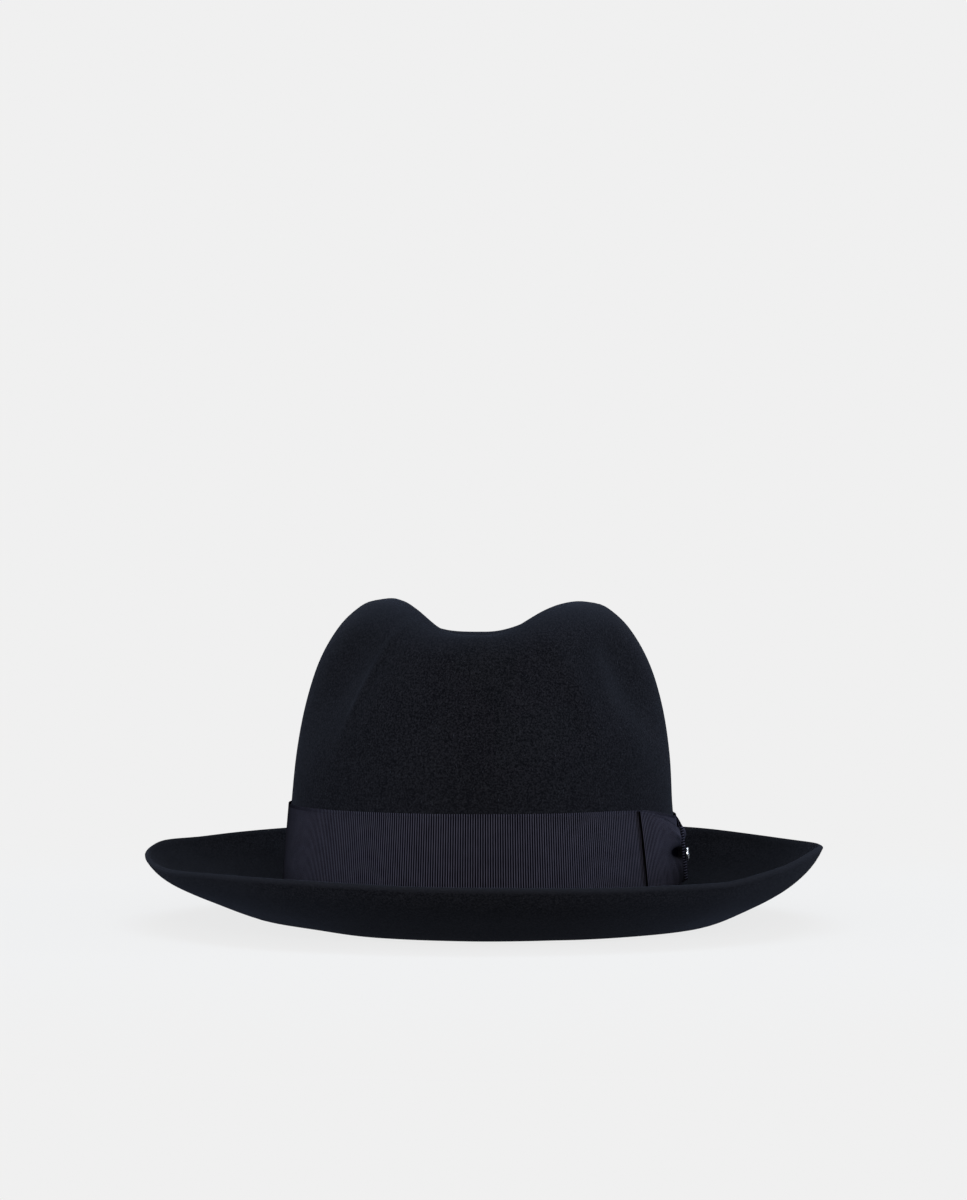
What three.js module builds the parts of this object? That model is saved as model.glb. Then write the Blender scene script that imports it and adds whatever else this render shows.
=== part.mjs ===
// A wool felt hat: a dented oval crown, a brim curled up all round, and a ribbed ribbon band with a flat bow.
// Millimetres. +Z is up, the wearer faces -Y, and the wearer's left is +X.
// The origin is under the middle of the hat, on the surface that it rests on.
import * as THREE from "three";
import { mergeVertices } from "three/addons/utils/BufferGeometryUtils.js";

// Felt, one thickness from the crown to the brim edge
const FELT_THICKNESS = 2.3;
const FELT_COLOUR = 0x10131c;

// Crown, measured on the outer face of the felt
const CROWN_HALF_WIDTH = 85.3;
const CROWN_HALF_LENGTH = 104;
const CROWN_SIDE_SHIFT = -0.75;
const WALL_FOOT_HEIGHT = 53;

// The ridge is the closed line of highest felt round the dent: two humps joined by a front and a back lip
const RIDGE_HALF_WIDTH = 42.8;
const RIDGE_SIDE_SHIFT = 0.8;
const RIDGE_HALF_LENGTH = 85;
const RIDGE_BACK_SHIFT = 2;
const RIDGE_FRONT_TAPER = 0.12;
const LIP_HEIGHT = 128.2;
const HUMPS = {
  left: { height: 142.6, sharpness: 1.05, fullness: 2.0 },
  right: { height: 143.9, sharpness: 1.9, fullness: 0.4 },
};
const DENT_FLOOR_HEIGHT = 114;
// Above 1, the dent drops steeply from the ridge and its floor is wide
const DENT_STEEPNESS = 1.7;
// Above 1, the fullness of the sides sits low on the wall
const FULLNESS_LOWNESS = 1.6;

// From the ridge down to the foot of the wall, both as shares of the whole way
const SHOULDER = [
  { height: 1.0, reach: 0.0 },
  { height: 0.986, reach: 0.197 },
  { height: 0.96, reach: 0.3 },
  { height: 0.871, reach: 0.499 },
  { height: 0.704, reach: 0.698 },
  { height: 0.561, reach: 0.799 },
  { height: 0.36, reach: 0.899 },
  { height: 0.18, reach: 0.96 },
  { height: 0.0, reach: 1.0 },
];
// The front wall runs straighter than the sides: the share of a near-straight line mixed in at the front
const FRONT_STRAIGHTNESS = 0.2;
const FRONT_LINE_POWER = 2.2;
const FRONT_NARROWNESS = 3;

// Two shallow pinches in the front of the crown, slanting outwards as they go down
const PINCHES = [
  { name: "left", turn: 60, depth: 8.5, height: 110 },
  { name: "right", turn: -57, depth: 7.5, height: 111 },
];
const PINCH_WIDTH = 15;
const PINCH_TALLNESS = 25;
const PINCH_SLANT = 0.2;
// The pinches fade out just below the ridge
const PINCH_FADE_POWER = 6;

// Collar, the straight stretch under the band, and the round break into the brim
const COLLAR_FLARE = 3.6;
const BREAK_RADIUS = 9;
// The lowest ring would hang this far below the surface, so the felt is pressed flat there.
const PRESSED_DEPTH = 0.3;
const BRIM_LOW_HEIGHT = FELT_THICKNESS - PRESSED_DEPTH;
// The brim lifts a little off the surface at the front right, round this turn
const ROOT_LIFT = { turn: -58, width: 28, height: 2.4 };

// Brim, measured along its upper face
const BRIM_HALF_WIDTH = 149.5;
const BRIM_HALF_LENGTH = 168.2;
// Height of the edge round the hat: lowest at the front, highest at the back and the wearer's left
const EDGE_HEIGHTS = [
  { turn: -180, height: 35.2 },
  { turn: -140, height: 33.9 },
  { turn: -118, height: 32.8 },
  { turn: -104, height: 33.5 },
  { turn: -88, height: 31.4 },
  { turn: -62, height: 27.6 },
  { turn: -44, height: 28.1 },
  { turn: 0, height: 26.2 },
  { turn: 41, height: 25.4 },
  { turn: 55, height: 29.0 },
  { turn: 78, height: 34.6 },
  { turn: 112, height: 32.7 },
  { turn: 140, height: 34.4 },
  { turn: 180, height: 35.2 },
];
// Rise of the brim from its break at 0 to its edge at 1, on the wearer's left and right
const BRIM_SECTION = [
  { out: 0.0, left: 0.0, right: 0.0 },
  { out: 0.13, left: 0.0, right: 0.09 },
  { out: 0.3, left: 0.12, right: 0.23 },
  { out: 0.46, left: 0.245, right: 0.37 },
  { out: 0.7, left: 0.45, right: 0.57 },
  { out: 0.85, left: 0.645, right: 0.715 },
  { out: 0.956, left: 0.855, right: 0.88 },
  { out: 1.0, left: 1.0, right: 1.0 },
];
// Towards both sides of the front the section is hollower, like a shallow bowl
const BOWL_TURN = 38;
const BOWL_WIDTH = 26;
const BOWL_START = 0.13;
const BOWL_SHARE = 0.45;

// Ribbon band and bow
const TOUCHING_GAP = 0.3;
const RIBBON_COLOUR = 0x1b1b2b;
const BAND_BOTTOM = 13;
// The upper edge of the band dips behind the bow
const BAND_TOPS = [
  { turn: -180, height: 52.6 },
  { turn: 40, height: 52.6 },
  { turn: 54, height: 52.0 },
  { turn: 66, height: 49.8 },
  { turn: 82, height: 47.4 },
  { turn: 98, height: 47.6 },
  { turn: 118, height: 49.6 },
  { turn: 140, height: 51.8 },
  { turn: 160, height: 52.6 },
  { turn: 180, height: 52.6 },
];
const BAND_THICKNESS = 0.9;
const BOW_TURN = 81;
const KNOT_WIDTH = 14;
const KNOT_HEIGHT = 25;
const KNOT_THICKNESS = 3.0;
const LOOP_LENGTH = 45;
// How far the long edges of a loop's end lie inside the edges of the band
const LOOP_EDGE_MARGIN = 0.3;
const LOOP_KNOT_HEIGHT = 23;
const LOOP_END_THICKNESS = 1.5;
const LOOP_MIDDLE_THICKNESS = 2.6;
const LOOP_PLEATS = 3;
const LOOP_PLEAT_DEPTH = 0.55;
const LOOP_GATHER_POWER = 1.4;
// The loops are fullest a little way out from the knot, and thinner along their long edges
const LOOP_PUFF_START = 0.25;
const LOOP_EDGE_THINNING = 0.35;
const KNOT_SIDE_ROUNDING = 0.3;
const KNOT_END_ROUNDING = 0.12;
const BOW_MIDDLE_HEIGHT = 30.4;
const STUD_RADIUS = 2.9;
const STUD_THICKNESS = 1.0;
const STUD_COLOUR = 0xb8bac0;

// How finely the faces are cut
const TURN_STEPS = 64;
const STUD_STEPS = 20;
const LOOP_STEPS = { along: 8, across: 12 };
const KNOT_STEPS = 4;
const STEPS = { dent: 6, wall: 8, collar: 1, bend: 3, brim: 7 };

const FULL_TURN = 2 * Math.PI;
const SLOPE_STEP = 0.02;
const degrees = THREE.MathUtils.degToRad;
const mix = THREE.MathUtils.lerp;

// A smooth bump that is 1 at its middle and falls away to both sides
function bell(distance, width) {
  return Math.exp(-((distance / width) ** 2));
}

// A smooth curve through the rows of a table, read from one column to another.
function readTable(rows, from, to, at) {
  const ordered = rows[0][from] <= rows[1][from] ? rows : [...rows].reverse();
  const last = ordered.length - 1;
  let i = 0;
  while (i < last - 1 && at > ordered[i + 1][from]) i += 1;
  const slope = (a, b) => (ordered[b][to] - ordered[a][to]) / (ordered[b][from] - ordered[a][from]);
  const here = slope(i, i + 1);
  const before = i > 0 ? slope(i - 1, i) : here;
  const after = i < last - 1 ? slope(i + 1, i + 2) : here;
  const gentle = (p, q) => (p * q > 0 ? (2 * p * q) / (p + q) : 0);
  const slopeIn = i > 0 ? gentle(before, here) : here;
  const slopeOut = i < last - 1 ? gentle(here, after) : here;
  const span = ordered[i + 1][from] - ordered[i][from];
  const t = THREE.MathUtils.clamp((at - ordered[i][from]) / span, 0, 1);
  const rise = ordered[i + 1][to] - ordered[i][to];
  return ordered[i][to] + rise * t * t * (3 - 2 * t)
    + span * slopeIn * t * (1 - t) * (1 - t) - span * slopeOut * t * t * (1 - t);
}

// A turn is an angle round the hat: 0 at the front, a quarter turn at the wearer's left.
function oval(turn, halfWidth, halfLength, sideShift = 0, backShift = 0) {
  return new THREE.Vector2(
    sideShift + halfWidth * Math.sin(turn),
    backShift - halfLength * Math.cos(turn),
  );
}

function humpAt(turn) {
  return Math.sin(turn) > 0 ? HUMPS.left : HUMPS.right;
}

function ridgePoint(turn) {
  const hump = humpAt(turn);
  const share = Math.abs(Math.sin(turn)) ** hump.sharpness;
  const height = mix(LIP_HEIGHT, hump.height, (1 - Math.cos(Math.PI * share)) / 2);
  const halfWidth = RIDGE_HALF_WIDTH * (1 - RIDGE_FRONT_TAPER * Math.cos(turn));
  const plan = oval(turn, halfWidth, RIDGE_HALF_LENGTH, RIDGE_SIDE_SHIFT, RIDGE_BACK_SHIFT);
  return new THREE.Vector3(plan.x, plan.y, height);
}

// The dent, from its floor at 0 to the ridge at 1
function dentPoint(turn, share) {
  const ridge = ridgePoint(turn);
  const floor = new THREE.Vector3(RIDGE_SIDE_SHIFT, RIDGE_BACK_SHIFT, DENT_FLOOR_HEIGHT);
  const point = floor.clone().lerp(ridge, share);
  point.z = mix(floor.z, ridge.z, (1 - Math.cos(Math.PI * share ** DENT_STEEPNESS)) / 2);
  return point;
}

function pinchDepth(turn, height) {
  let depth = 0;
  for (const pinch of PINCHES) {
    const slant = Math.sign(pinch.turn) * PINCH_SLANT * (pinch.height - height);
    const aside = THREE.MathUtils.radToDeg(turn) - (pinch.turn + slant);
    const held = bell(aside, PINCH_WIDTH) * bell(height - pinch.height, PINCH_TALLNESS);
    depth += pinch.depth * held;
  }
  return depth;
}

// The wall, from the ridge at 0 to the top of the collar at 1
function wallPoint(turn, share) {
  const ridge = ridgePoint(turn);
  const foot = oval(turn, CROWN_HALF_WIDTH, CROWN_HALF_LENGTH, CROWN_SIDE_SHIFT);
  const fallen = Math.cos((share * Math.PI) / 2);
  const rounded = readTable(SHOULDER, "height", "reach", fallen);
  const straight = 1 - fallen ** FRONT_LINE_POWER;
  const front = Math.max(0, Math.cos(turn)) ** FRONT_NARROWNESS;
  const reach = mix(rounded, straight, FRONT_STRAIGHTNESS * front);
  const plan = new THREE.Vector2(ridge.x, ridge.y).lerp(foot, reach);
  const height = mix(WALL_FOOT_HEIGHT, ridge.z, fallen);
  const belowRidge = 1 - fallen ** PINCH_FADE_POWER;
  const swell = Math.sin(turn) ** 2 * Math.sin(Math.PI * share ** FULLNESS_LOWNESS);
  const fullness = humpAt(turn).fullness * swell;
  plan.setLength(plan.length() + fullness - pinchDepth(turn, height) * belowRidge);
  return new THREE.Vector3(plan.x, plan.y, height);
}

// The outer face of the collar at a height, with the felt's outward direction there
function collarPoint(turn, height) {
  const down = (WALL_FOOT_HEIGHT - height) / (WALL_FOOT_HEIGHT - BREAK_RADIUS);
  const flare = COLLAR_FLARE * down;
  const plan = oval(turn, CROWN_HALF_WIDTH + flare, CROWN_HALF_LENGTH + flare, CROWN_SIDE_SHIFT);
  return new THREE.Vector3(plan.x, plan.y, height);
}

function outward(turn) {
  const across = Math.sin(turn) / CROWN_HALF_WIDTH;
  const along = -Math.cos(turn) / CROWN_HALF_LENGTH;
  return new THREE.Vector3(across, along, 0).normalize();
}

function wrappedDegrees(turn) {
  return THREE.MathUtils.radToDeg(Math.atan2(Math.sin(turn), Math.cos(turn)));
}

// Where the brim leaves the break
function lowHeight(turn) {
  const lifted = bell(wrappedDegrees(turn) - ROOT_LIFT.turn, ROOT_LIFT.width);
  return BRIM_LOW_HEIGHT + ROOT_LIFT.height * lifted;
}

// The collar as a stretch of the section, from its top at 0 to its foot at 1
function collarStretch(turn, share) {
  return collarPoint(turn, mix(WALL_FOOT_HEIGHT, lowHeight(turn) + BREAK_RADIUS, share));
}

// The round break between the collar at 0 and the brim at 1
function bendPoint(turn, share) {
  const start = collarPoint(turn, lowHeight(turn) + BREAK_RADIUS);
  const angle = (share * Math.PI) / 2;
  const reach = BREAK_RADIUS * (1 - Math.cos(angle));
  start.addScaledVector(outward(turn), reach);
  start.z -= BREAK_RADIUS * Math.sin(angle);
  return start;
}

// The brim, from the break at 0 to its cut edge at 1
function brimPoint(turn, share) {
  const root = bendPoint(turn, 1);
  const edge = oval(turn, BRIM_HALF_WIDTH, BRIM_HALF_LENGTH);
  const edgeHeight = readTable(EDGE_HEIGHTS, "turn", "height", wrappedDegrees(turn));
  const plan = new THREE.Vector2(root.x, root.y).lerp(edge, share);
  const onLeft = (1 + Math.sin(turn)) / 2;
  const riseRight = readTable(BRIM_SECTION, "out", "right", share);
  const rise = mix(riseRight, readTable(BRIM_SECTION, "out", "left", share), onLeft);
  const bowl = (Math.max(0, share - BOWL_START) / (1 - BOWL_START)) ** 2;
  const bowlShare = BOWL_SHARE * bell(Math.abs(wrappedDegrees(turn)) - BOWL_TURN, BOWL_WIDTH);
  return new THREE.Vector3(plan.x, plan.y, mix(root.z, edgeHeight, mix(rise, bowl, bowlShare)));
}

// The whole outer face of the felt. Each unit of station is one stretch of the section.
const STRETCHES = [
  { steps: STEPS.dent, point: dentPoint },
  { steps: STEPS.wall, point: wallPoint },
  { steps: STEPS.collar, point: collarStretch },
  { steps: STEPS.bend, point: bendPoint },
  { steps: STEPS.brim, point: brimPoint },
];

function feltFace(turn, station) {
  const index = Math.min(Math.floor(station), STRETCHES.length - 1);
  return STRETCHES[index].point(turn, station - index);
}

function feltNormal(turn, station) {
  const here = Math.max(SLOPE_STEP, station);
  const low = Math.max(SLOPE_STEP, station - SLOPE_STEP);
  const high = Math.min(STRETCHES.length, station + SLOPE_STEP);
  const along = feltFace(turn, high).sub(feltFace(turn, low));
  const round = feltFace(turn + SLOPE_STEP, here).sub(feltFace(turn - SLOPE_STEP, here));
  return along.cross(round).normalize();
}

// A flat felt disc, its radius counted in stations, pressed over the block.
// It is lathed, then every point is moved.
function makeFelt() {
  const stations = [0];
  STRETCHES.forEach((stretch, index) => {
    for (let step = 1; step <= stretch.steps; step += 1) stations.push(index + step / stretch.steps);
  });
  const upper = stations.map((station) => new THREE.Vector2(station, 0));
  const under = stations.map((station) => new THREE.Vector2(station, -FELT_THICKNESS)).reverse();
  const disc = new THREE.LatheGeometry([...upper, ...under].reverse(), TURN_STEPS);
  return shapeMesh(disc, (flat) => {
    const station = Math.hypot(flat.x, flat.z);
    const turn = Math.atan2(flat.x, flat.z);
    const point = feltFace(turn, station).addScaledVector(feltNormal(turn, station), flat.y);
    // The felt is pressed flat where it rests.
    point.z = Math.max(point.z, 0);
    return point;
  });
}

// Moves every point of a closed shape by one rule and joins its seams.
function shapeMesh(geometry, rule) {
  const flat = new THREE.Vector3();
  const places = geometry.getAttribute("position");
  geometry.deleteAttribute("normal");
  geometry.deleteAttribute("uv");
  for (let i = 0; i < places.count; i += 1) {
    const moved = rule(flat.fromBufferAttribute(places, i));
    places.setXYZ(i, moved.x, moved.y, moved.z);
  }
  const joined = mergeVertices(geometry, 1e-4);
  joined.computeVertexNormals();
  return joined;
}

// A place on the band: a turn, a height, and how far it stands off the felt
function ribbonPoint(turn, height, standOff) {
  return collarPoint(turn, height).addScaledVector(outward(turn), TOUCHING_GAP + standOff);
}

function bandTop(turn) {
  return readTable(BAND_TOPS, "turn", "height", wrappedDegrees(turn));
}

function makeBand() {
  const inside = 1;
  const outside = inside + BAND_THICKNESS;
  const corners = [
    [inside, 0],
    [outside, 0],
    [outside, 1],
    [inside, 1],
    [inside, 0],
  ];
  const hoop = new THREE.LatheGeometry(corners.map(([r, h]) => new THREE.Vector2(r, h)), TURN_STEPS);
  return shapeMesh(hoop, (flat) => {
    const standOff = Math.hypot(flat.x, flat.z) - inside;
    const turn = Math.atan2(flat.x, flat.z);
    return ribbonPoint(turn, mix(BAND_BOTTOM, bandTop(turn), flat.y), standOff);
  });
}

// Distance along the band, in millimetres from the middle of the bow, as a turn
function bowTurn(along) {
  return degrees(BOW_TURN) + along / CROWN_HALF_LENGTH;
}

// One loop of the bow: a padded strip that narrows and gathers towards the knot.
function makeLoop(side) {
  const strip = new THREE.BoxGeometry(1, 1, 1, LOOP_STEPS.along, LOOP_STEPS.across, 1);
  const start = KNOT_WIDTH / 2 + TOUCHING_GAP;
  const endBottom = BAND_BOTTOM + LOOP_EDGE_MARGIN;
  const endTop = bandTop(bowTurn(side * (start + LOOP_LENGTH))) - LOOP_EDGE_MARGIN;
  return shapeMesh(strip, (flat) => {
    const away = 0.5 + flat.x * side;
    const across = flat.y;
    const gather = (1 - away) ** LOOP_GATHER_POWER;
    const tall = mix(endTop - endBottom, LOOP_KNOT_HEIGHT, gather);
    const puff = Math.sin(Math.PI * mix(LOOP_PUFF_START, 1, away));
    const pleat = LOOP_PLEAT_DEPTH * gather * Math.cos(FULL_TURN * LOOP_PLEATS * across);
    const edge = 1 - LOOP_EDGE_THINNING * (2 * Math.abs(across)) ** 4;
    const thick = (mix(LOOP_END_THICKNESS, LOOP_MIDDLE_THICKNESS, puff) + pleat) * edge;
    const standOff = BAND_THICKNESS + TOUCHING_GAP + (flat.z > 0 ? thick : 0);
    const middle = mix((endTop + endBottom) / 2, BOW_MIDDLE_HEIGHT, gather);
    const turn = bowTurn(side * (start + LOOP_LENGTH * away));
    return ribbonPoint(turn, middle + tall * across, standOff);
  });
}

function makeKnot() {
  const wrap = new THREE.BoxGeometry(1, 1, 1, KNOT_STEPS, KNOT_STEPS, 1);
  return shapeMesh(wrap, (flat) => {
    const sides = KNOT_SIDE_ROUNDING * (2 * Math.abs(flat.x)) ** 3;
    const ends = KNOT_END_ROUNDING * (2 * Math.abs(flat.y)) ** 4;
    const rounding = 1 - sides - ends;
    const standOff = BAND_THICKNESS + TOUCHING_GAP + (flat.z > 0 ? KNOT_THICKNESS * rounding : 0);
    return ribbonPoint(bowTurn(KNOT_WIDTH * flat.x), BOW_MIDDLE_HEIGHT + KNOT_HEIGHT * flat.y, standOff);
  });
}

function makeStud() {
  const profile = [
    [0, 0], [STUD_RADIUS, 0], [STUD_RADIUS, STUD_THICKNESS * 0.5],
    [STUD_RADIUS * 0.8, STUD_THICKNESS * 0.9], [0, STUD_THICKNESS],
  ];
  const disc = new THREE.LatheGeometry(profile.map(([r, h]) => new THREE.Vector2(r, h)), STUD_STEPS);
  return shapeMesh(disc, (flat) => new THREE.Vector3(flat.x, -flat.z, flat.y));
}

function piece(name, geometry, colour, roughness, metalness) {
  const material = new THREE.MeshStandardMaterial({ color: colour, roughness, metalness });
  const mesh = new THREE.Mesh(geometry, material);
  mesh.name = name;
  return mesh;
}

const hat = new THREE.Group();
hat.add(piece("felt_body", makeFelt(), FELT_COLOUR, 0.95, 0));

const ribbons = new THREE.Group();
ribbons.add(piece("hat_band", makeBand(), RIBBON_COLOUR, 0.6, 0));
ribbons.add(piece("bow_front_loop", makeLoop(-1), RIBBON_COLOUR, 0.6, 0));
ribbons.add(piece("bow_back_loop", makeLoop(1), RIBBON_COLOUR, 0.6, 0));
ribbons.add(piece("bow_knot", makeKnot(), RIBBON_COLOUR, 0.6, 0));
hat.add(ribbons);

// The stud sits on the middle of the knot and faces straight out from it.
const stud = piece("bow_stud", makeStud(), STUD_COLOUR, 0.3, 1);
const studSeat = BAND_THICKNESS + TOUCHING_GAP + KNOT_THICKNESS + TOUCHING_GAP;
stud.position.copy(ribbonPoint(bowTurn(0), BOW_MIDDLE_HEIGHT, studSeat));
stud.quaternion.setFromUnitVectors(new THREE.Vector3(0, 0, 1), outward(bowTurn(0)));
hat.add(stud);

export default hat;
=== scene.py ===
# %% [markdown]
# A felt hat with a ribbon band
#
# The hat is one piece of wool felt, blocked into an oval crown with a long dent in its tip and a brim that
# curls up all round. A ribbed grosgrain ribbon runs round the foot of the crown and ends in a flat bow on
# the wearer's left, held by a knot with a small metal stud.
#
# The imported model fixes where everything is. This script makes the finished surfaces in the same place, with
# the same section of the felt as the model, cut much finer. Shapes are worked out in millimetres, and MM
# turns them into Blender's metres.

# %% Load the frame
import math

import bmesh
import bpy
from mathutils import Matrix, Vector, noise


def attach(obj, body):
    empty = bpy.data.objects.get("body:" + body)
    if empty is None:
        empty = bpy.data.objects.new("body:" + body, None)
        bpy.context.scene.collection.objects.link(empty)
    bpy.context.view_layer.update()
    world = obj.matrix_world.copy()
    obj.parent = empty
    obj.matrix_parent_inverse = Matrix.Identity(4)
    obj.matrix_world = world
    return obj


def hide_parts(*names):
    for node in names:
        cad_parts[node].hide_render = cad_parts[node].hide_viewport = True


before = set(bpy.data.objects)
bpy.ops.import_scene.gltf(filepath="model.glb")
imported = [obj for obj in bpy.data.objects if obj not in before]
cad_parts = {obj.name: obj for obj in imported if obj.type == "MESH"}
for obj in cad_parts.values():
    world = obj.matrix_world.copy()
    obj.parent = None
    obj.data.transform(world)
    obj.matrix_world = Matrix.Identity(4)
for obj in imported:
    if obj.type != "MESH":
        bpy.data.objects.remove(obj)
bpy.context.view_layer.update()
MM = 0.001
FULL_TURN = 2 * math.pi
print("nodes", sorted(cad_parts))

# %% [markdown]
# The camera and its place
#
# The photograph looks at the hat from straight ahead, with the lens level with the top of the crown. A long
# lens far away keeps the curl of the brim from spreading, so the camera stands 1.8 m in front of the hat.
# The focal length is given in pixels of the photograph, and a sensor as long as its longer side turns it into
# the millimetres that a Blender camera takes.

# %% Camera
PHOTO_HEIGHT_PX = 1200
FOCAL_PX = 4018
SENSOR_MM = 36
CAMERA_DISTANCE = 1.8
CAMERA_HEIGHT = 0.143

camera_data = bpy.data.cameras.new("camera")
camera_data.sensor_width = SENSOR_MM
camera_data.lens = FOCAL_PX / PHOTO_HEIGHT_PX * SENSOR_MM
camera = bpy.data.objects.new("camera", camera_data)
camera.location = (0, -CAMERA_DISTANCE, CAMERA_HEIGHT)
camera.rotation_euler = (math.radians(90), 0, 0)
bpy.context.scene.collection.objects.link(camera)
bpy.context.scene.camera = camera
print("lens", round(camera_data.lens, 1), "mm")

# %% [markdown]
# Reading a short table as a smooth curve
#
# A hatter thinks of the brim as a few measured heights joined by an even line. The same is done here: a table
# has a row for each measured place, and read_table joins the rows with a cubic that never overshoots them.

# %% Smooth tables
def mix(low, high, share):
    return low + (high - low) * share


def bell(distance, width):
    """1 at no distance, and soon nothing beyond the width."""
    return math.exp(-((distance / width) ** 2))


def eased(share):
    """From 0 to 1, level at both ends."""
    return (1 - math.cos(math.pi * share)) / 2


def read_table(rows, column, at):
    """The height of a smooth curve through rows of (place, values...), read in one column."""
    last = len(rows) - 1
    i = 0
    while i < last - 1 and at > rows[i + 1][0]:
        i += 1

    def slope(a, b):
        return (rows[b][column] - rows[a][column]) / (rows[b][0] - rows[a][0])

    def gentle(p, q):
        return 2 * p * q / (p + q) if p * q > 0 else 0

    here = slope(i, i + 1)
    slope_in = gentle(slope(i - 1, i), here) if i > 0 else here
    slope_out = gentle(here, slope(i + 1, i + 2)) if i < last - 1 else here
    span = rows[i + 1][0] - rows[i][0]
    t = min(max((at - rows[i][0]) / span, 0), 1)
    rise = rows[i + 1][column] - rows[i][column]
    ease = t * t * (3 - 2 * t)
    bend = slope_in * t * (1 - t) ** 2 - slope_out * t * t * (1 - t)
    return rows[i][column] + rise * ease + span * bend


# %% [markdown]
# The section of the felt
#
# A turn is an angle round the hat, 0 at the front and a quarter turn at the wearer's left. At each turn the
# section runs from the floor of the dent up to the ridge, over the shoulder and down the wall, straight down
# the collar under the band, round the break and out along the brim to its cut edge. Every stretch is a
# function of the turn and of the share of the way along it, so the whole hat is one smooth rule.

# %% Sizes of the crown and the brim, in millimetres
FELT_THICKNESS = 2.3
CROWN_HALF_WIDTH = 85.3
CROWN_HALF_LENGTH = 104
CROWN_SIDE_SHIFT = -0.75
WALL_FOOT_HEIGHT = 53
RIDGE_HALF_WIDTH = 42.8
RIDGE_SIDE_SHIFT = 0.8
RIDGE_HALF_LENGTH = 85
RIDGE_BACK_SHIFT = 2
RIDGE_FRONT_TAPER = 0.12
LIP_HEIGHT = 128.2
LEFT_HUMP = {"height": 142.6, "sharpness": 1.05, "fullness": 2.0}
RIGHT_HUMP = {"height": 143.9, "sharpness": 1.9, "fullness": 0.4}
DENT_FLOOR_HEIGHT = 114
DENT_STEEPNESS = 1.7
FULLNESS_LOWNESS = 1.6
FRONT_STRAIGHTNESS = 0.2
FRONT_LINE_POWER = 2.2
FRONT_NARROWNESS = 3
PINCHES = [{"turn": 60, "depth": 8.5, "height": 110}, {"turn": -57, "depth": 7.5, "height": 111}]
PINCH_WIDTH = 15
PINCH_TALLNESS = 25
PINCH_SLANT = 0.2
PINCH_FADE_POWER = 6
COLLAR_FLARE = 3.6
BREAK_RADIUS = 9
PRESSED_DEPTH = 0.3
BRIM_LOW_HEIGHT = FELT_THICKNESS - PRESSED_DEPTH
ROOT_LIFT = {"turn": -58, "width": 28, "height": 2.4}
BRIM_HALF_WIDTH = 149.5
BRIM_HALF_LENGTH = 168.2

# Share of the height above the wall's foot, and share of the way out from the ridge
SHOULDER = [
    (0.0, 1.0), (0.18, 0.96), (0.36, 0.899), (0.561, 0.799), (0.704, 0.698),
    (0.871, 0.499), (0.96, 0.3), (0.986, 0.197), (1.0, 0.0),
]
# Turn in degrees, and height of the brim's edge
EDGE_HEIGHTS = [
    (-180, 35.2), (-140, 33.9), (-118, 32.8), (-104, 33.5), (-88, 31.4), (-62, 27.6), (-44, 28.1),
    (0, 26.2), (41, 25.4), (55, 29.0), (78, 34.6), (112, 32.7), (140, 34.4), (180, 35.2),
]
# Where the brim sweeps up as a rounder bowl, at this turn on both sides of the front, and how much of it does
BOWL = {"turn": 38, "width": 26, "start": 0.13, "share": 0.45}
# Share of the way out along the brim, and its rise on the wearer's left and right
BRIM_SECTION = [
    (0.0, 0.0, 0.0), (0.13, 0.0, 0.09), (0.3, 0.12, 0.23), (0.46, 0.245, 0.37),
    (0.7, 0.45, 0.57), (0.85, 0.645, 0.715), (0.956, 0.855, 0.88), (1.0, 1.0, 1.0),
]


# %% The stretches of the section
def oval(turn, half_width, half_length, side_shift=0, back_shift=0):
    return (side_shift + half_width * math.sin(turn), back_shift - half_length * math.cos(turn))


def hump_at(turn):
    return LEFT_HUMP if math.sin(turn) > 0 else RIGHT_HUMP


def ridge_point(turn):
    hump = hump_at(turn)
    share = abs(math.sin(turn)) ** hump["sharpness"]
    height = mix(LIP_HEIGHT, hump["height"], eased(share))
    half_width = RIDGE_HALF_WIDTH * (1 - RIDGE_FRONT_TAPER * math.cos(turn))
    x, y = oval(turn, half_width, RIDGE_HALF_LENGTH, RIDGE_SIDE_SHIFT, RIDGE_BACK_SHIFT)
    return x, y, height


def dent_point(turn, share):
    x, y, height = ridge_point(turn)
    rise = eased(share ** DENT_STEEPNESS)
    x, y = mix(RIDGE_SIDE_SHIFT, x, share), mix(RIDGE_BACK_SHIFT, y, share)
    return x, y, mix(DENT_FLOOR_HEIGHT, height, rise)


def pinch_depth(turn, height):
    depth = 0
    for pinch in PINCHES:
        slant = math.copysign(PINCH_SLANT, pinch["turn"]) * (pinch["height"] - height)
        aside = math.degrees(turn) - (pinch["turn"] + slant)
        depth += pinch["depth"] * bell(aside, PINCH_WIDTH) * bell(height - pinch["height"], PINCH_TALLNESS)
    return depth


def wall_point(turn, share):
    ridge_x, ridge_y, ridge_height = ridge_point(turn)
    foot_x, foot_y = oval(turn, CROWN_HALF_WIDTH, CROWN_HALF_LENGTH, CROWN_SIDE_SHIFT)
    fallen = math.cos(share * math.pi / 2)
    straight = 1 - fallen ** FRONT_LINE_POWER
    front = max(0, math.cos(turn)) ** FRONT_NARROWNESS
    reach = mix(read_table(SHOULDER, 1, fallen), straight, FRONT_STRAIGHTNESS * front)
    x, y = mix(ridge_x, foot_x, reach), mix(ridge_y, foot_y, reach)
    height = mix(WALL_FOOT_HEIGHT, ridge_height, fallen)
    fullness = hump_at(turn)["fullness"] * math.sin(turn) ** 2
    fullness *= math.sin(math.pi * share ** FULLNESS_LOWNESS)
    pinched = pinch_depth(turn, height) * (1 - fallen ** PINCH_FADE_POWER)
    scale = 1 + (fullness - pinched) / math.hypot(x, y)
    return x * scale, y * scale, height


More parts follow.
